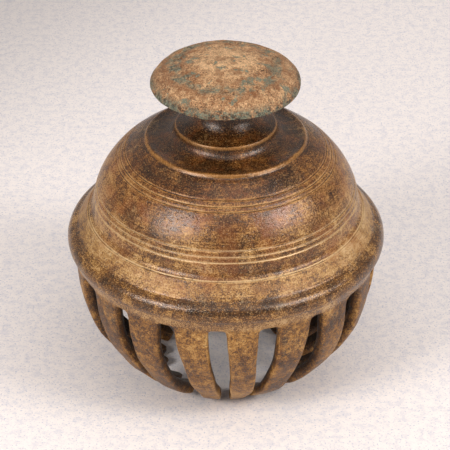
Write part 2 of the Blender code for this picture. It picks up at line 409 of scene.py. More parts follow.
def new_group(name, inputs, outputs):
    """A shader node group, with sockets for numbers and for points, and its two end nodes."""
    tree = bpy.data.node_groups.new(name, "ShaderNodeTree")
    for way, labels in (("INPUT", inputs), ("OUTPUT", outputs)):
        for label in labels:
            kind = VECTOR if label.lower().endswith("point") else FLOAT
            socket = tree.interface.new_socket(label, in_out=way, socket_type=kind)
            if way == "INPUT" and kind == FLOAT:
                socket.default_value = inputs[label]
    return tree, tree.nodes.new("NodeGroupInput").outputs, tree.nodes.new("NodeGroupOutput")


def end_group(tree, end, results):
    """Links each result to the group's output of that name, and returns the group."""
    for name, socket in results.items():
        tree.links.new(socket, end.inputs[name])
    return tree


def make_place_group():
    """Where a point of a turned piece is, in millimetres, and points for stretched patterns."""
    tree, _, end = new_group("Turned place", {}, (
        "Point", "Radius", "Height", "Across", "Forward", "Streak point", "Brush point"))
    here = add(tree, "ShaderNodeTexCoord").outputs["Object"]
    point = vector_maths(tree, "SCALE", {0: here, "Scale": 1000.0})
    across, back, height = add(tree, "ShaderNodeSeparateXYZ", {0: point}).outputs
    flat = add(tree, "ShaderNodeCombineXYZ", {0: across, 1: back, 2: 0.0}).outputs[0]
    radius = vector_maths(tree, "LENGTH", {0: flat})
    outward = vector_maths(tree, "NORMALIZE", {0: flat})
    run = maths(tree, "SUBTRACT", radius, height)
    down = upright(tree, maths(tree, "MULTIPLY", run, 0.02))
    fine_down = upright(tree, maths(tree, "MULTIPLY", run, 1.2))
    wide = vector_maths(tree, "SCALE", {0: outward, "Scale": 4.0})
    return end_group(tree, end, {
        "Point": point, "Radius": radius, "Height": height, "Across": across,
        "Forward": maths(tree, "MULTIPLY", back, -1.0),
        "Streak point": vector_maths(tree, "ADD", {0: outward, 1: down}),
        "Brush point": vector_maths(tree, "ADD", {0: wide, 1: fine_down})})


def make_mottle_group():
    """A patchy mask: noise at a size in millimetres, cut to a share of the surface."""
    tree, start, end = new_group("Mottle", {
        "Point": None, "Size": 8.0, "Detail": 6.0, "Middle": 0.5, "Softness": 0.1,
        "Warp": 0.3}, ("Mask",))
    scale = maths(tree, "DIVIDE", 1.0, start["Size"])
    patches = noise(tree, start["Point"], scale, start["Detail"], 0.62, start["Warp"])
    low = maths(tree, "SUBTRACT", start["Middle"], start["Softness"])
    high = maths(tree, "ADD", start["Middle"], start["Softness"])
    return end_group(tree, end, {"Mask": remap(tree, patches, low, high)})


def make_band_group():
    """A soft-edged band of a value, broken up by noise: an engraved line or a worn edge."""
    tree, start, end = new_group("Band", {
        "Value": 0.0, "Centre": 0.0, "Half width": 0.5, "Point": None, "Break up": 0.3},
        ("Mask",))
    away = maths(tree, "ABSOLUTE", maths(tree, "SUBTRACT", start["Value"], start["Centre"]))
    band = remap(tree, maths(tree, "DIVIDE", away, start["Half width"]), 1.0, 0.35)
    whole = maths(tree, "ADD", start["Break up"], 0.3)
    broken = remap(tree, noise(tree, start["Point"], 0.16, 4.0), start["Break up"], whole)
    return end_group(tree, end, {"Mask": maths(tree, "MULTIPLY", band, broken)})


def make_pits_group():
    """Height of a corroded skin: grain, scattered pits and slow waves."""
    tree, start, end = new_group("Pitting", {
        "Point": None, "Grain": 1.0, "Pits": 1.0, "Pit size": 1.2}, ("Height", "Pit mask"))
    point = start["Point"]
    grain = maths(tree, "MULTIPLY", noise(tree, point, 2.4, 5.0, 0.7), start["Grain"])
    wave = maths(tree, "MULTIPLY", noise(tree, point, 0.35, 3.0), 0.8)
    cells = add(tree, "ShaderNodeTexVoronoi",
                {"Vector": point, "Scale": maths(tree, "DIVIDE", 1.0, start["Pit size"]),
                 "Randomness": 1.0}, feature="F1").outputs["Distance"]
    chosen = remap(tree, noise(tree, point, 0.5, 2.0), 0.45, 0.62)
    pit = maths(tree, "MULTIPLY", remap(tree, cells, 0.42, 0.12), chosen)
    pit = maths(tree, "MULTIPLY", pit, start["Pits"])
    height = maths(tree, "SUBTRACT", maths(tree, "ADD", grain, wave), pit)
    return end_group(tree, end, {"Height": height, "Pit mask": pit})


def make_tone_group():
    """Lightness of a patina, from 0 to 1: broad clouds, blotches and fine grain on a level."""
    tree, start, end = new_group("Patina tone", {
        "Point": None, "Level": 0.5, "Clouds": 1.0, "Blotches": 1.0, "Grain": 1.0,
        "Grain size": 0.8}, ("Tone", "Fine"))
    tone = start["Level"]
    layers = (("Clouds", 12.0, 3.0, 0.55, 0.6), ("Blotches", 3.2, 5.0, 0.65, 0.4),
              ("Grain", start["Grain size"], 3.0, 0.7, 0.0))
    for label, size, detail, roughness, warp in layers:
        layer = noise(tree, start["Point"], maths(tree, "DIVIDE", 1.0, size), detail,
                      roughness, warp)
        share = maths(tree, "MULTIPLY", maths(tree, "SUBTRACT", layer, 0.5), start[label])
        tone = maths(tree, "ADD", tone, share)
    return end_group(tree, end, {"Tone": maths(tree, "ADD", tone, 0.0, clamp=True),
                                 "Fine": layer})


GROUPS = {"Turned place": make_place_group, "Mottle": make_mottle_group,
          "Band": make_band_group, "Pitting": make_pits_group, "Patina tone": make_tone_group}


def use_group(tree, name, inputs=None):
    """Adds a shared effect, which is made when it is first needed."""
    group = bpy.data.node_groups.get(name) or GROUPS[name]()
    return add(tree, "ShaderNodeGroup", inputs, node_tree=group).outputs


# ---- materials

class Skin:
    """A material in the making: its nodes, and the colour that further ones are laid on."""

    def __init__(self, name, metallic):
        self.material = bpy.data.materials.new(name)
        self.material.use_nodes = True
        self.tree = self.material.node_tree
        self.shader = self.tree.nodes["Principled BSDF"]
        self.shader.inputs["Metallic"].default_value = metallic
        self.point = None
        self.base = None

    def turned_place(self):
        """Where a point of a turned piece is, which the masks and tones then use."""
        place = use_group(self.tree, "Turned place")
        self.point = place["Point"]
        return place

    def both(self, a, b):
        return maths(self.tree, "MULTIPLY", a, b)

    def plus(self, a, b):
        return maths(self.tree, "ADD", a, b)

    def fade(self, value, low, high, to_low=0.0, to_high=1.0):
        return remap(self.tree, value, low, high, to_low, to_high)

    def most(self, a, b):
        return maths(self.tree, "MAXIMUM", a, b)

    def mottle(self, size, middle, softness, detail=6.0, warp=0.3, source=None):
        """A mask of patches of a size in millimetres, more of them with a lower middle."""
        return use_group(self.tree, "Mottle", {
            "Point": source or self.point, "Size": size, "Middle": middle,
            "Softness": softness, "Detail": detail, "Warp": warp})["Mask"]

    def band(self, value, centre, half_width, break_up):
        """A mask of a band of the value, whole at a low break_up and broken at a high one."""
        return use_group(self.tree, "Band", {
            "Value": value, "Centre": centre, "Half width": half_width,
            "Point": self.point, "Break up": break_up})["Mask"]

    def level(self, middle, parts):
        """A lightness: the middle, plus each part's mask times its share."""
        for mask, share in parts:
            middle = self.plus(middle, self.both(mask, share))
        return middle

    def tone(self, level, clouds, blotches, grain, grain_size):
        return use_group(self.tree, "Patina tone", {
            "Point": self.point, "Level": level, "Clouds": clouds, "Blotches": blotches,
            "Grain": grain, "Grain size": grain_size})

    def pits(self, grain, pits, pit_size):
        return use_group(self.tree, "Pitting", {
            "Point": self.point, "Grain": grain, "Pits": pits, "Pit size": pit_size})

    def start_colour(self, tone, stops):
        """Takes the base from a tone, between the colours at the stops."""
        ramp = add(self.tree, "ShaderNodeValToRGB", {0: tone})
        while len(ramp.color_ramp.elements) < len(stops):
            ramp.color_ramp.elements.new(1.0)
        for element, (place, value) in zip(ramp.color_ramp.elements, stops):
            element.position = place
            element.color = (*value, 1.0)
        self.base = ramp.outputs[0]

    def lay(self, over, mask, share=None, blend="MIX"):
        """Lays a colour on the base through a mask, at a share of its strength."""
        if share is not None:
            mask = self.both(mask, share)
        under = (*self.base, 1.0) if isinstance(self.base, tuple) else self.base
        made = add(self.tree, "ShaderNodeMix", {0: mask, 6: under, 7: (*over, 1.0)},
                   data_type="RGBA", blend_type=blend)
        self.base = made.outputs[2]

    def finish(self, roughness, height, depth):
        """Joins the base, a roughness and a bump of a depth in metres to the shader."""
        bump = add(self.tree, "ShaderNodeBump",
                   {"Height": height, "Distance": depth, "Strength": 1.0})
        results = (("Base Color", self.base), ("Roughness", roughness),
                   ("Normal", bump.outputs[0]))
        for name, socket in results:
            self.tree.links.new(socket, self.shader.inputs[name])
        return self.material


def bronze_material(colours):
    """Brown patina, dark in the hollows, ochre low down, pale along edges and engraved lines, with
    painted shade and painted highlight where marked.
    """
    skin = Skin("patinated_bronze", 0.18)
    skin.shader.inputs["Specular IOR Level"].default_value = 0.55
    umber, brown, rust, ochre, pale = named(colours, "umber brown rust ochre pale")
    place = skin.turned_place()
    radius, height, forward = place["Radius"], place["Height"], place["Forward"]
    aside = maths(skin.tree, "ABSOLUTE", place["Across"])
    both, plus, fade, mottle, band = (skin.both, skin.plus, skin.fade, skin.mottle, skin.band)

    # The parts of the casting, by height and radius in millimetres
    claws = fade(height, 50.5, 47.5)
    band_foot = fade(height, 53.6, 52.6)
    roll = band(height, 58.5, 2.6, -0.3)
    flange = both(fade(height, 67.0, 64.5), fade(height, 60.2, 61.6))
    above_roll = fade(height, 60.0, 66.0)
    upper_dome = fade(height, 77.0, 85.0)
    shoulder = both(fade(height, 89.0, 91.0), fade(radius, 27.6, 28.4))
    crown = both(fade(height, 93.4, 94.6), fade(radius, 28.0, 27.2))

    # How light each part is, with painted shade and painted highlight where marked
    brushed = both(plus(noise(skin.tree, place["Brush point"], 1.0, 3.0, 0.65), -0.5),
                   fade(height, 54.0, 60.0))
    worn = plus(mottle(1.9, 0.50, 0.14), -0.5)
    inner = attribute(skin.tree, "inner")
    edge = attribute(skin.tree, "edge")
    level = skin.level(0.44, (
        (claws, 0.02),
        # painted highlight: the dome lighter towards its left and right sides as the camera sees
        # them
        (both(fade(aside, 25.0, 43.0), above_roll), 0.10),
        # painted shade: the claws darker towards the left and right as the camera sees them
        (both(fade(aside, 6.0, 20.0), claws), -0.12),
        (brushed, 0.50),
        (band_foot, 0.10),
        # painted shade: the roll's underside darker, most in front and less towards the sides
        (both(roll, fade(aside, 12.0, 40.0, 1.0, 0.2)), -0.11),
        # painted shade: the shoulder below the crown's edge darker; the crown recess darker, partly
        # dark patina and partly painted shade under the knob
        (flange, 0.10), (shoulder, -0.08), (crown, -0.15),
        (both(claws, worn), 0.20),
        # painted shade: the inner sheet darker, inside the bell
        (fade(inner, 0.35, 0.95), -0.26),
        (fade(edge, 0.12, 0.75), 0.16),
        (fade(edge, -0.12, -0.60), -0.12)))
    tone = skin.tone(level, 0.62, 0.70, 1.20, 0.45)
    skin.start_colour(tone["Tone"], (
        (0.12, umber), (0.34, tint(brown, 0.42)), (0.48, brown), (0.60, ochre),
        (0.76, tuple((o + p) / 2 for o, p in zip(ochre, pale))), (0.95, pale)))

    # Rust: faint streaks down the dome, one strong streak in front, and patches
    dome = both(fade(height, 57.0, 66.0), fade(height, 92.0, 84.0))
    skin.lay(rust, both(mottle(0.34, 0.58, 0.10, 3.0, source=place["Streak point"]), dome), 0.45)
    front = both(fade(forward, 5.0, 20.0), band(place["Across"], 0.6, 5.0, 0.25))
    front = both(front, both(fade(height, 64.0, 68.0), fade(height, 87.0, 80.0)))
    skin.lay(tint(rust, 0.55), front, 0.60)
    reds = both(both(mottle(6.0, 0.56, 0.07), mottle(1.4, 0.48, 0.12)), above_roll)
    skin.lay(tint(rust, 0.6), reds, 0.55)

    # Pale: dust in the engraved lines, a painted highlight on the crown's lips, bloom and specks
    for line, width, break_up in ENGRAVED:
        skin.lay(pale, band(height, line / MM, 0.70 * width, break_up), 0.78)
    # painted highlight: ochre along the tops of the two lips round the crown
    painted_lip_highlight = skin.most(
        both(band(radius, 17.6, 0.45, 0.18), fade(height, 98.2, 99.2)),
        both(band(radius, 28.0, 0.50, 0.18), fade(height, 93.4, 94.0)))
    skin.lay(ochre, painted_lip_highlight, 0.65)
    skin.lay(pale, both(mottle(11.0, 0.62, 0.07), mottle(0.9, 0.52, 0.10, 3.0)), 0.40)
    skin.lay(pale, mottle(0.42, 0.64, 0.04, 2.0, 0.0), 0.50)

    # Casts of colour over whole parts, and dark pits; the upper dome's darker cast is painted shade
    skin.lay((0.92, 0.82, 0.58), claws, blend="MULTIPLY")
    # painted shade: the upper dome darker, where little light falls from above
    skin.lay((0.86, 0.74, 0.58), upper_dome, blend="MULTIPLY")
    pits = skin.pits(1.0, 0.8, 1.1)
    skin.lay(umber, pits["Pit mask"], 0.7)

    rough = skin.level(fade(tone["Tone"], 0.25, 0.75, 0.17, 0.31), (
        (claws, 0.18), (crown, 0.06), (roll, -0.06), (flange, 0.09),
        (fade(tone["Fine"], 0.4, 0.6), 0.08)))
    coarse = skin.level(1.0, ((claws, 2.2), (flange, 0.88)))
    return skin.finish(rough, both(pits["Height"], coarse), 0.00008)


def crust_material(colours):
    """The knob's corroded crust: tan and rust, with verdigris round the rim and in patches; lighter
    towards the top's centre partly as painted light, and darker underneath partly as painted shade.
    """
    skin = Skin("corroded_crust", 0.0)
    umber, rust, tan, verdigris, pale = named(colours, "umber rust tan verdigris pale")
    pale = tint(pale, (1.15, 1.07, 1.10))
    place = skin.turned_place()
    radius, height = place["Radius"], place["Height"]
    foot = KNOB_LOW.z / MM
    both, plus, fade, mottle, band = (skin.both, skin.plus, skin.fade, skin.mottle, skin.band)

    # The parts of the knob, with rings that waver
    waver = plus(noise(skin.tree, skin.point, 0.18, 3.0), -0.5)
    wavering = plus(radius, both(waver, 7.0))
    rim = fade(height, foot + 6.6, foot + 3.6)
    under = fade(height, foot + 1.6, foot + 0.6)
    rings = skin.most(band(wavering, 14.8, 1.5, 0.32), band(wavering, 20.4, 1.6, 0.32))
    between = band(wavering, 17.6, 2.6, 0.30)

    edge = attribute(skin.tree, "edge")
    level = skin.level(0.60, (
        # lighter towards the centre of the top: partly pale crust, partly painted light from above
        (fade(wavering, 6.0, 16.0, 1.0, 0.0), 0.24), (rim, -0.10),
        (fade(edge, 0.10, 0.60), 0.10), (fade(edge, -0.05, -0.45), -0.22)))
    tone = skin.tone(level, 0.45, 0.90, 2.00, 0.50)
    skin.start_colour(tone["Tone"], (
        (0.15, umber), (0.33, tint(tan, 0.35)), (0.47, tint(tan, 0.8)), (0.58, tan),
        (0.74, pale), (0.95, tint(pale, 1.4))))
    skin.lay(rust, mottle(3.4, 0.57, 0.07), 0.6)
    skin.lay(rust, rings, 0.50)
    green = both(skin.most(rim, both(between, 0.9)), mottle(3.4, 0.47, 0.05))
    green = both(skin.most(green, mottle(4.6, 0.60, 0.03)), mottle(0.8, 0.40, 0.14, 3.0))
    skin.lay(verdigris, green, 0.9)
    flecks = both(mottle(0.45, 0.62, 0.04), fade(height, foot + 2.0, foot + 3.0))
    skin.lay(pale, flecks, 0.6)
    skin.lay(umber, both(skin.most(rim, both(between, 0.7)), mottle(1.3, 0.53, 0.05)), 0.75)
    skin.lay(tint(verdigris, 2.2), both(green, mottle(0.6, 0.58, 0.04)), 0.8)
    pits = skin.pits(1.8, 0.9, 0.8)
    skin.lay(umber, pits["Pit mask"], 0.7)
    # darker under the cap: partly dark patina, partly painted shade
    skin.lay(umber, under, 0.85)
    rough = fade(tone["Fine"], 0.35, 0.65, 0.55, 0.85)
    return skin.finish(rough, pits["Height"], 0.00085)


def iron_material(colours):
    """Forged iron, brown with rust, lighter on its edges; the hanger and clapper share it."""
    if "rusted_iron" in bpy.data.materials:
        return bpy.data.materials["rusted_iron"]
    skin = Skin("rusted_iron", 0.35)
    iron, rust, umber = named(colours, "iron rust umber")
    skin.turned_place()
    level = skin.fade(attribute(skin.tree, "edge"), -0.3, 0.9, 0.36, 0.56)
    tone = skin.tone(level, 0.3, 0.9, 0.7, 0.7)
    skin.start_colour(tone["Tone"], (
        (0.20, umber), (0.42, iron), (0.55, tint(rust, 0.6)), (0.75, rust)))
    rough = skin.fade(tone["Tone"], 0.3, 0.7, 0.45, 0.80)
    return skin.finish(rough, skin.pits(1.2, 1.2, 0.9)["Height"], 0.0002)


def paper_material(colours):
    """Pale matt paper with cool clouds and flecks, and painted shade darkening it towards the far
    left.
    """
    skin = Skin("pale_paper", 0.0)
    paper = tuple(colours.paper)
    cool = tint(paper, (0.64, 0.69, 0.82))
    here = add(skin.tree, "ShaderNodeTexCoord").outputs["Object"]
    clouds = noise(skin.tree, here, 1.0 / 0.0034, 5.0, 0.8)
    flecks = noise(skin.tree, here, 1.0 / 0.0008, 1.0, 0.5)
    across, back, _ = add(skin.tree, "ShaderNodeSeparateXYZ", {0: here}).outputs
    corner = skin.plus(skin.both(back, 0.8), skin.both(across, -1.2))
    skin.base = paper
    skin.lay(cool, skin.fade(clouds, 0.56, 0.36, 0.0, 0.48))
    skin.lay(cool, skin.fade(flecks, 0.40, 0.30))
    # painted shade: the floor darker towards the far left corner
    skin.lay((0.0, 0.0, 0.0), skin.fade(corner, 0.17, 0.40, 0.0, 0.30))
    return skin.finish(skin.fade(flecks, 0.3, 0.7, 0.85, 0.95), flecks, 0.00008)


# ---- the pieces

def outer_outline(sizes):
    """The casting's outside, as (radius, height) points from the neck's top to the band's foot."""
    neck = [(0.0, NECK_TOP + 0.8 * MM), (0.0050, NECK_TOP + 0.8 * MM)]
    neck += sweep((0.0106, NECK_TOP + 0.6 * MM), (0.0088, 0.1075), (0.0106, 0.1038), 6)
    neck += sweep((0.0112, 0.103), (0.0126, 0.101), (0.0163, 0.1), 4)
    table = [(0.0170, 0.09985), (0.0175, 0.09955), (0.0177, 0.099), (0.0177, 0.0981),
             (0.0178, 0.0974)]
    dish = sweep((0.0185, 0.0963), (0.0200, 0.0946), (0.0250, 0.0947), 4)
    edge = [(0.0264, 0.0949), (0.0272, 0.0952), (0.0279, 0.0949), (0.0282, 0.0943),
            (0.0285, 0.0937)]
    dome = oval(DOME_HIGH.x - 9.4 * MM, 0.0340, DOME_BASE, 51.0, 4.0, 18)
    skirt = [(0.0471, 0.0681), (0.0475, 0.0671), (0.0481, 0.0664), (0.0489, 0.0658),
             (0.0496, 0.0648), (0.0505, 0.0635), (0.0515, 0.0621), (0.0523, 0.0609)]
    roll = [(0.0527, 0.0603), (0.0532, 0.06)]
    roll += sweep((0.0538, 0.0597), (0.0557, 0.0588), (0.0563, 0.0564), 5)
    roll += [(FLANGE_RADIUS, 0.0553)]
    lip = [(FLANGE_RADIUS - 0.0001, 0.0544), (0.0560, 0.0539), (0.0555, 0.0535)]
    band = sweep((0.0552, 0.0527), (0.0546, 0.051), (BAND_RADIUS, BAND_BOTTOM), 4)
    points = neck + table + dish + edge + dome + skirt + roll + lip + band
    return with_grooves(points, [line[0] for line in ENGRAVED], sizes.groove_width,
                        sizes.groove_depth)


def inner_outline(sizes):
    """The casting's inside, from the band's foot up to the boss that holds the staple."""
    inner = BAND_RADIUS - sizes.wall
    points = [(inner, BAND_BOTTOM), (inner, 0.0525), (inner, 0.0555)]
    points += sweep((inner - 0.0001, 0.0575), (0.0482, 0.0618), (0.0440, 0.0652), 4)
    points += oval(0.0432, 0.0280, DOME_BASE, 4.0, 74.0, 10)
    points += [(0.0104, 0.0934), (0.0098, 0.0922), (0.0095, 0.0911), (0.0088, 0.0905),
               (0.0045, 0.0905), (0.0, 0.0905)]
    return points


def basket_point(radius, depth):
    """(radius, height) of a point of the basket, at an angle below its centre."""
    return (radius * math.cos(depth),
            BASKET_CENTRE - (radius - BAND_RADIUS + BASKET_DROP) * math.sin(depth))


def depth_of(point):
    """The angle below the basket's centre at which a point lies."""
    return math.atan2((BASKET_CENTRE - point.z) / BASKET_DROP,
                      reach_of(point) / BAND_RADIUS)


def basket_depths(sizes):
    """Angles of the claws' rows below the basket's centre, closer together at the tip."""
    top = -math.asin((BAND_BOTTOM - BASKET_CENTRE) / BASKET_DROP)
    straight = sizes.tip_angle - TIP_ROUND
    depths = [top + (straight - top) * row / CLAW_ROWS for row in range(1, CLAW_ROWS + 1)]
    return depths + [sizes.tip_angle - TIP_ROUND * share for share in (0.6, 0.3, 0.1, 0.0)]


def tip_share(depth, sizes):
    """Width of a claw at a depth, as a share of its width at the band, with its tip rounded."""
    share = 1 - sizes.claw_taper * min(max(depth / TAPER_END, 0.0), 1.0)
    left = (sizes.tip_angle - depth) / TIP_ROUND
    if left < 1.0:
        share *= math.sqrt(max(1 - (1 - left) ** 2, 0.12))
    return share


def ease(value, start, end):
    """0 up to start, 1 from end, and smooth between them."""
    share = min(max((value - start) / (end - start), 0.0), 1.0)
    return share * share * (3 - 2 * share)


def claw_shift(number, within, depth):
    """How far, in degrees, a claw's point strays at an angle from its middle."""
    number %= len(CLAWS)
    lean = CLAW_LEANS[number] * ease(depth, LEAN_START, LEAN_END) * LEAN_GAIN
    return CLAW_PLACES[number] + lean + within / CLAW_HALF * CLAW_WIDTHS[number] / 2


def stray(piece):
    """Moves the claws, and the band over them, to the places where they were cut by eye."""
    for vert in piece.data.vertices:
        point = vert.co
        share = ease(BAND_BOTTOM + STRAY_DEPTH - point.z, 0.0, STRAY_DEPTH)
        if share == 0.0:
            continue
        turn = azimuth_of(point)
        number = round((turn - FIRST_CLAW) / CLAW_PITCH)
        within = turn - FIRST_CLAW - number * CLAW_PITCH
        depth = depth_of(point)
        if abs(within) <= CLAW_HALF + 0.01:
            shift = claw_shift(number, within, depth)
        else:
            side = 1 if within > 0 else -1
            across = (abs(within) - CLAW_HALF) / (CLAW_PITCH - 2 * CLAW_HALF)
            shift = ((1 - across) * claw_shift(number, side * CLAW_HALF, depth)
                     + across * claw_shift(number + side, -side * CLAW_HALF, depth))
        reach = reach_of(point)
        vert.co = at_azimuth(reach, point.z, turn + share * shift)


class BELL_OT_casting(bpy.types.Operator):
    """Make the bronze casting: neck, crown, dome, flange, band and claws in one piece"""
    bl_idname = "bell.casting"
    bl_label = "Bronze casting"

    def execute(self, context):
        sizes = context.scene.bell_sizes
        depths = basket_depths(sizes)
        inner_radius = BAND_RADIUS - sizes.wall
        outside = outer_outline(sizes) + [basket_point(BAND_RADIUS, d) for d in depths]
        inside = [basket_point(inner_radius, d) for d in reversed(depths)]
        inside += inner_outline(sizes)
        outside, inside = ([at_azimuth(r, z, CLAW_HALF) for r, z in line]
                           for line in (outside, inside))

        piece = start_piece("bell_casting")
        draw_line(outside)
        # The inside is a second line: a copy of the last vertex, moved to its own first point.
        bpy.ops.mesh.duplicate()
        draw_line(inside, outside[-1])
        select_all()
        bpy.ops.mesh.spin(steps=SECTOR_STEPS, angle=math.radians(CLAW_PITCH),
                          center=(0, 0, 0), axis=(0, 0, 1))
        self.mark_inner(piece, inner_radius)
        self.open_gap(piece)
        self.taper_claw(piece, depths, sizes)
        self.close_claw(piece)
        select_all()
        bpy.ops.mesh.spin(steps=len(CLAWS) - 1, dupli=True, center=(0, 0, 0), axis=(0, 0, 1),
                          angle=math.tau * (len(CLAWS) - 1) / len(CLAWS))
        select_all()
        bpy.ops.transform.rotate(value=-math.radians(FIRST_CLAW), orient_axis="Z",
                                 center_override=(0, 0, 0))
        close_up()
        stray(piece)

        sway = piece.vertex_groups.new(name="sway")
        for vert in piece.data.vertices:
            reach = (BAND_BOTTOM - vert.co.z) / BAND_BOTTOM
            if reach > 0:
                sway.add([vert.index], min(1.0, 1.6 * reach), "REPLACE")
        subdivide(piece, 1)
        roughen(piece, "claw_sway", 0.018, sizes.claw_sway, 1, "RGB_TO_XYZ", "sway")
        roughen(piece, "casting_lumps", 0.013, sizes.lumps)
        apply_modifiers(piece)
        # The claws stand on their worn feet, so nothing goes below the floor.
        mode("EDIT")
        select_where(piece, lambda point: point.z < 0.0)
        bpy.ops.transform.resize(value=(1, 1, 0), center_override=(0, 0, 0))
        mode("OBJECT")
        mark_edges(piece)
        finish_piece(piece, bronze_material(context.scene.bell_colours), "bell",
                     ["bell_dome", "knob_neck", *CLAWS])
        return {"FINISHED"}

    @staticmethod
    def mark_inner(piece, inner_radius):
        """Writes 1 on the vertices of the inner sheet, which the bronze darkens as painted shade.
        """
        mode("OBJECT")
        mark = piece.data.attributes.new("inner", "FLOAT", "POINT")
        for vert in piece.data.vertices:
            mark.data[vert.index].value = 1.0 if is_inner(vert.co, inner_radius) else 0.0
        mode("EDIT")

    @staticmethod
    def open_gap(piece):
        """Takes out the faces between this claw and the next."""
        select_where(piece, lambda centre: centre.z < BAND_BOTTOM
                     and azimuth_of(centre) < -CLAW_HALF, "FACE")
        bpy.ops.mesh.delete(type="FACE")

    @staticmethod
    def taper_claw(piece, depths, sizes):
        """Narrows each row of the claw about its own middle."""
        for depth in depths:
            share = tip_share(depth, sizes)

            def in_row(point):
                return (point.z < BAND_BOTTOM - 0.1 * MM
                        and abs(depth_of(point) - depth) < 0.002)
            select_where(piece, in_row)
            bpy.ops.transform.resize(value=(share, 1, 1), center_override=(0, 0, 0))

    @staticmethod
    def close_claw(piece):
        """Bridges the outer and the inner sheet along the claw and over the gap."""
        bpy.ops.mesh.select_mode(type="EDGE")
        select_all()
        bpy.ops.mesh.region_to_loop()
        mode("OBJECT")
        mesh = piece.data
        for edge in mesh.edges:
            ends = [mesh.vertices[i].co for i in edge.vertices]
            if max(end.z for end in ends) > BAND_BOTTOM + 0.1 * MM:
                edge.select = False
        mode("EDIT")
        bpy.ops.mesh.bridge_edge_loops(number_cuts=1, interpolation="LINEAR", smoothness=0.0)


def is_inner(point, inner_radius):
    """Whether a point of the casting lies on its inner sheet."""
    reach = reach_of(point)
    if point.z <= BAND_BOTTOM + 0.1 * MM:
        drop = BASKET_DROP - BAND_RADIUS + inner_radius
        return math.hypot(reach / inner_radius, (point.z - BASKET_CENTRE) / drop) < 1.02
    if point.z < DOME_BASE:
        return reach < inner_radius + 0.3 * MM and reach < 0.0460 + 0.35 * (DOME_BASE - point.z)
    return point.z < 0.0935 and (reach / 0.0440) ** 2 + ((point.z - DOME_BASE) / 0.0288) ** 2 < 1.0


class BELL_OT_knob(bpy.types.Operator):
    """Make the mushroom knob with its corroded crust"""
    bl_idname = "bell.knob"
    bl_label = "Mushroom knob"

    def execute(self, context):
        sizes = context.scene.bell_sizes
        radius = KNOB_HIGH.x - 0.1 * MM
        rim = KNOB_LOW.z + 2.7 * MM
        rise = KNOB_HIGH.z - rim - 0.1 * MM
        outline = [(0.0, rim + rise)]
        for r, z in oval(radius, rise, rim, 86.0, 8.0, 30):
            ridge = sum(height * math.exp(-((r - place) / width) ** 2)
                        for place, width, height in KNOB_RIDGES)
            outline.append((r, z + ridge))
        outline += [(radius, rim - 0.1 * MM), (radius - 0.4 * MM, rim - 0.5 * MM),
                    (radius - 1.3 * MM, rim - 0.9 * MM)]
        outline += sweep((radius - 2.6 * MM, rim - 1.2 * MM), (0.0180, rim - 1.5 * MM),
                         (0.0100, KNOB_LOW.z), 6)
        outline += [(0.0060, KNOB_LOW.z), (0.0, KNOB_LOW.z)]
        piece = start_piece("knob_crust")
        turn_outline(outline, 96)
        inward = piece.vertex_groups.new(name="inward")
        for vert in piece.data.vertices:
            reach = reach_of(vert.co)
            inward.add([vert.index], 1.0 - 0.6 * ease(reach, 16 * MM, 23 * MM), "REPLACE")
        subdivide(piece, 2)
        roughen(piece, "knob_swell", 0.011, sizes.crust, 1, group="inward")
        roughen(piece, "knob_flakes", 0.0028, sizes.crust * 0.50, 3, group="inward")
        apply_modifiers(piece)
        mark_edges(piece, 2)
        finish_piece(piece, crust_material(context.scene.bell_colours), "bell",
                     ["knob_cap"])
        return {"FINISHED"}


def bar_section(name, radius, centre, filled=True, sides=14):
    """Starts a round bar: a circle in edit mode, level at its place, selected with its face."""
    bpy.ops.object.select_all(action="DESELECT")
    bpy.ops.mesh.primitive_circle_add(vertices=sides, radius=radius, location=centre,
                                      fill_type="NGON" if filled else "NOTHING")
    piece = name_piece(name)
    bpy.ops.object.transform_apply(location=True, rotation=True, scale=True)
    mode("EDIT")
    bpy.ops.mesh.select_mode(type="FACE" if filled else "EDGE")
    select_all()
    return piece


def extrude_bar(rise, grow=1.0, centre=None, steps=1):
    """Pulls the selected end of a bar up in equal steps, and thickens or thins it."""
    for _ in range(steps):
        bpy.ops.mesh.extrude_region_move(TRANSFORM_OT_translate={"value": (0, 0, rise / steps)})
    if grow != 1.0:
        bpy.ops.transform.resize(value=(grow, grow, grow), center_override=centre)


def forge(piece, levels, size, lumps):
    """Rounds a piece and gives it a hammered surface."""
    subdivide(piece, levels)
    roughen(piece, piece.name + "_hammer", size, lumps)
    apply_modifiers(piece)
    mark_edges(piece, 2)


class BELL_OT_hanger(bpy.types.Operator):
    """Make the staple in the crown and the link that hangs in it"""
    bl_idname = "bell.hanger"
    bl_label = "Staple and link"

    def execute(self, context):
        material = iron_material(context.scene.bell_colours)
        self.make_staple(material)
        self.make_link(material)
        return {"FINISHED"}

    @staticmethod
    def make_staple(material):
        radius = 1.6 * MM
        bend = STAPLE_HIGH.x - radius
        bend_height = STAPLE_LOW.z + radius + bend
        top = STAPLE_HIGH.z - 0.4 * MM
        piece = bar_section("staple_iron", radius, (-bend, 0, top))
        extrude_bar(bend_height - top, steps=2)
        bpy.ops.mesh.spin(steps=14, angle=math.pi, center=(0, 0, bend_height), axis=(0, 1, 0))
        extrude_bar(top - bend_height, steps=2)
        close_up()
        forge(piece, 2, 0.004, 0.0003)
        finish_piece(piece, material, "bell", ["clapper_staple"])

    @staticmethod
    def make_link(material):
        radius = LINK_HIGH.x - 0.15 * MM
        centre = (LINK_LOW.z + LINK_HIGH.z) / 2
        ring = LINK_HIGH.y - LINK_HIGH.x
        piece = bar_section("link_iron", radius, (0, ring, centre), filled=False)
        bpy.ops.mesh.spin(steps=32, angle=math.tau, center=(0, 0, centre), axis=(1, 0, 0))
        close_up()
        forge(piece, 2, 0.004, 0.0002)
        finish_piece(piece, material, "link", ["clapper_link"])


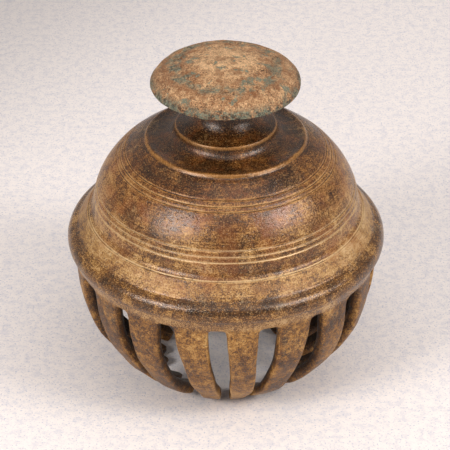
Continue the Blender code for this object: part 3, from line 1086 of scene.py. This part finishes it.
class BELL_OT_clapper(bpy.types.Operator):
    """Make the clapper: a forged rod with an open eye, and the ball it carries"""
    bl_idname = "bell.clapper"
    bl_label = "Clapper"

    def execute(self, context):
        material = iron_material(context.scene.bell_colours)
        self.make_rod(material)
        self.make_ball(material)
        return {"FINISHED"}

    @staticmethod
    def make_rod(material):
        radius = 1.45 * MM
        eye, elbow = 4.5 * MM, 4.0 * MM     # radii of the middle line of the two bends
        eye_centre = ROD_HIGH.z - radius - eye - 0.05 * MM
        neck_top = eye_centre - math.sqrt((eye + elbow) ** 2 - elbow ** 2)
        elbow_turn = math.acos(elbow / (eye + elbow))
        eye_turn = math.radians(292)
        # The burr: a foot, a flare, and a step in to the rod
        foot = ROD_LOW.z + 0.2 * MM
        burr_top = BALL_LOW.z - 0.3 * MM
        flare, step = 0.4 * MM, 0.1 * MM
        piece = bar_section("rod_iron", radius * 1.5, (0, 0, foot))
        extrude_bar(flare, 1.2, (0, 0, foot + flare))
        extrude_bar(burr_top - foot - flare)
        extrude_bar(step, 1 / 1.8, (0, 0, burr_top + step))
        extrude_bar(neck_top - burr_top - step, steps=6)
        bpy.ops.mesh.spin(steps=5, angle=elbow_turn, center=(elbow, 0, neck_top),
                          axis=(0, -1, 0))
        bpy.ops.mesh.spin(steps=20, angle=eye_turn, center=(0, 0, eye_centre), axis=(0, 1, 0))
        close_up()
        forge(piece, 2, 0.004, 0.0002)
        finish_piece(piece, material, "clapper", ["clapper_rod"])

    @staticmethod
    def make_ball(material):
        radius = BALL_HIGH.x - 0.15 * MM
        centre = (BALL_LOW.z + BALL_HIGH.z) / 2
        bore = 1.8 * MM
        first = math.degrees(math.acos(bore / radius))
        outline = oval(radius, radius, centre, first, -first, 18)
        outline = [(bore, outline[0][1] - 0.6 * MM)] + outline
        outline += [(bore, outline[-1][1] + 0.6 * MM), outline[0]]
        piece = start_piece("ball_iron")
        turn_outline(outline, 40)
        forge(piece, 1, 0.005, 0.0005)
        finish_piece(piece, material, "clapper", ["clapper_ball"])


class BELL_OT_stage(bpy.types.Operator):
    """Make the pale floor, the soft lights and the camera"""
    bl_idname = "bell.stage"
    bl_label = "Studio stage"

    def execute(self, context):
        bpy.ops.object.select_all(action="DESELECT")
        bpy.ops.mesh.primitive_plane_add(size=FLOOR_SIZE, location=(0, 0, 0))
        floor = context.object
        floor.name = "studio_floor"
        floor.data.materials.append(paper_material(context.scene.bell_colours))
        for lamp in LAMPS:
            self.add_lamp(context, *lamp)
        world = bpy.data.worlds.new("studio")
        world.use_nodes = True
        sky = world.node_tree.nodes["Background"]
        sky.inputs["Color"].default_value = (*SKY_COLOUR, 1.0)
        sky.inputs["Strength"].default_value = SKY_STRENGTH
        context.scene.world = world
        context.scene.view_settings.view_transform = "Standard"
        data = bpy.data.cameras.new("camera")
        data.lens = CAMERA_LENS
        data.sensor_width = 36.0
        data.clip_start = 0.01
        camera = bpy.data.objects.new("camera", data)
        camera.location = (CAMERA_ASIDE, -CAMERA_REACH * math.cos(CAMERA_TILT),
                           AIM_HEIGHT + CAMERA_REACH * math.sin(CAMERA_TILT))
        camera.rotation_euler = (math.pi / 2 - CAMERA_TILT, 0, 0)
        context.scene.collection.objects.link(camera)
        context.scene.camera = camera
        return {"FINISHED"}

    @staticmethod
    def add_lamp(context, name, turn, lift, reach, size, power):
        """A square soft light that faces the bell."""
        data = bpy.data.lights.new(name, "AREA")
        data.size = size
        data.energy = power
        data.color = LAMP_COLOUR
        lift = math.radians(lift)
        way = Vector(at_azimuth(math.cos(lift), math.sin(lift), turn))
        lamp = bpy.data.objects.new(name, data)
        lamp.location = Vector((0, 0, AIM_HEIGHT)) + reach * way
        lamp.rotation_euler = way.to_track_quat("Z", "Y").to_euler()
        context.scene.collection.objects.link(lamp)


class BELL_PT_panel(bpy.types.Panel):
    """Lists the bell's sizes, colours and pieces"""
    bl_idname = "BELL_PT_panel"
    bl_label = "Claw Bell"
    bl_space_type = "VIEW_3D"
    bl_region_type = "UI"
    bl_category = "Claw Bell"

    def draw(self, context):
        layout = self.layout
        for settings in (context.scene.bell_sizes, context.scene.bell_colours):
            box = layout.box()
            for name in settings.__annotations__:
                box.prop(settings, name)
        for step in STEPS:
            layout.operator(step.bl_idname)


STEPS = (BELL_OT_casting, BELL_OT_knob, BELL_OT_hanger, BELL_OT_clapper, BELL_OT_stage)
CLASSES = (BellSizes, BellColours, *STEPS, BELL_PT_panel)


def register():
    for item in CLASSES:
        bpy.utils.register_class(item)
    bpy.types.Scene.bell_sizes = PointerProperty(type=BellSizes)
    bpy.types.Scene.bell_colours = PointerProperty(type=BellColours)


def unregister():
    del bpy.types.Scene.bell_sizes
    del bpy.types.Scene.bell_colours
    for item in reversed(CLASSES):
        bpy.utils.unregister_class(item)


def main():
    register()
    bpy.ops.bell.casting()
    bpy.ops.bell.knob()
    bpy.ops.bell.hanger()
    bpy.ops.bell.clapper()
    bpy.ops.bell.stage()


if __name__ == "__main__":
    main()
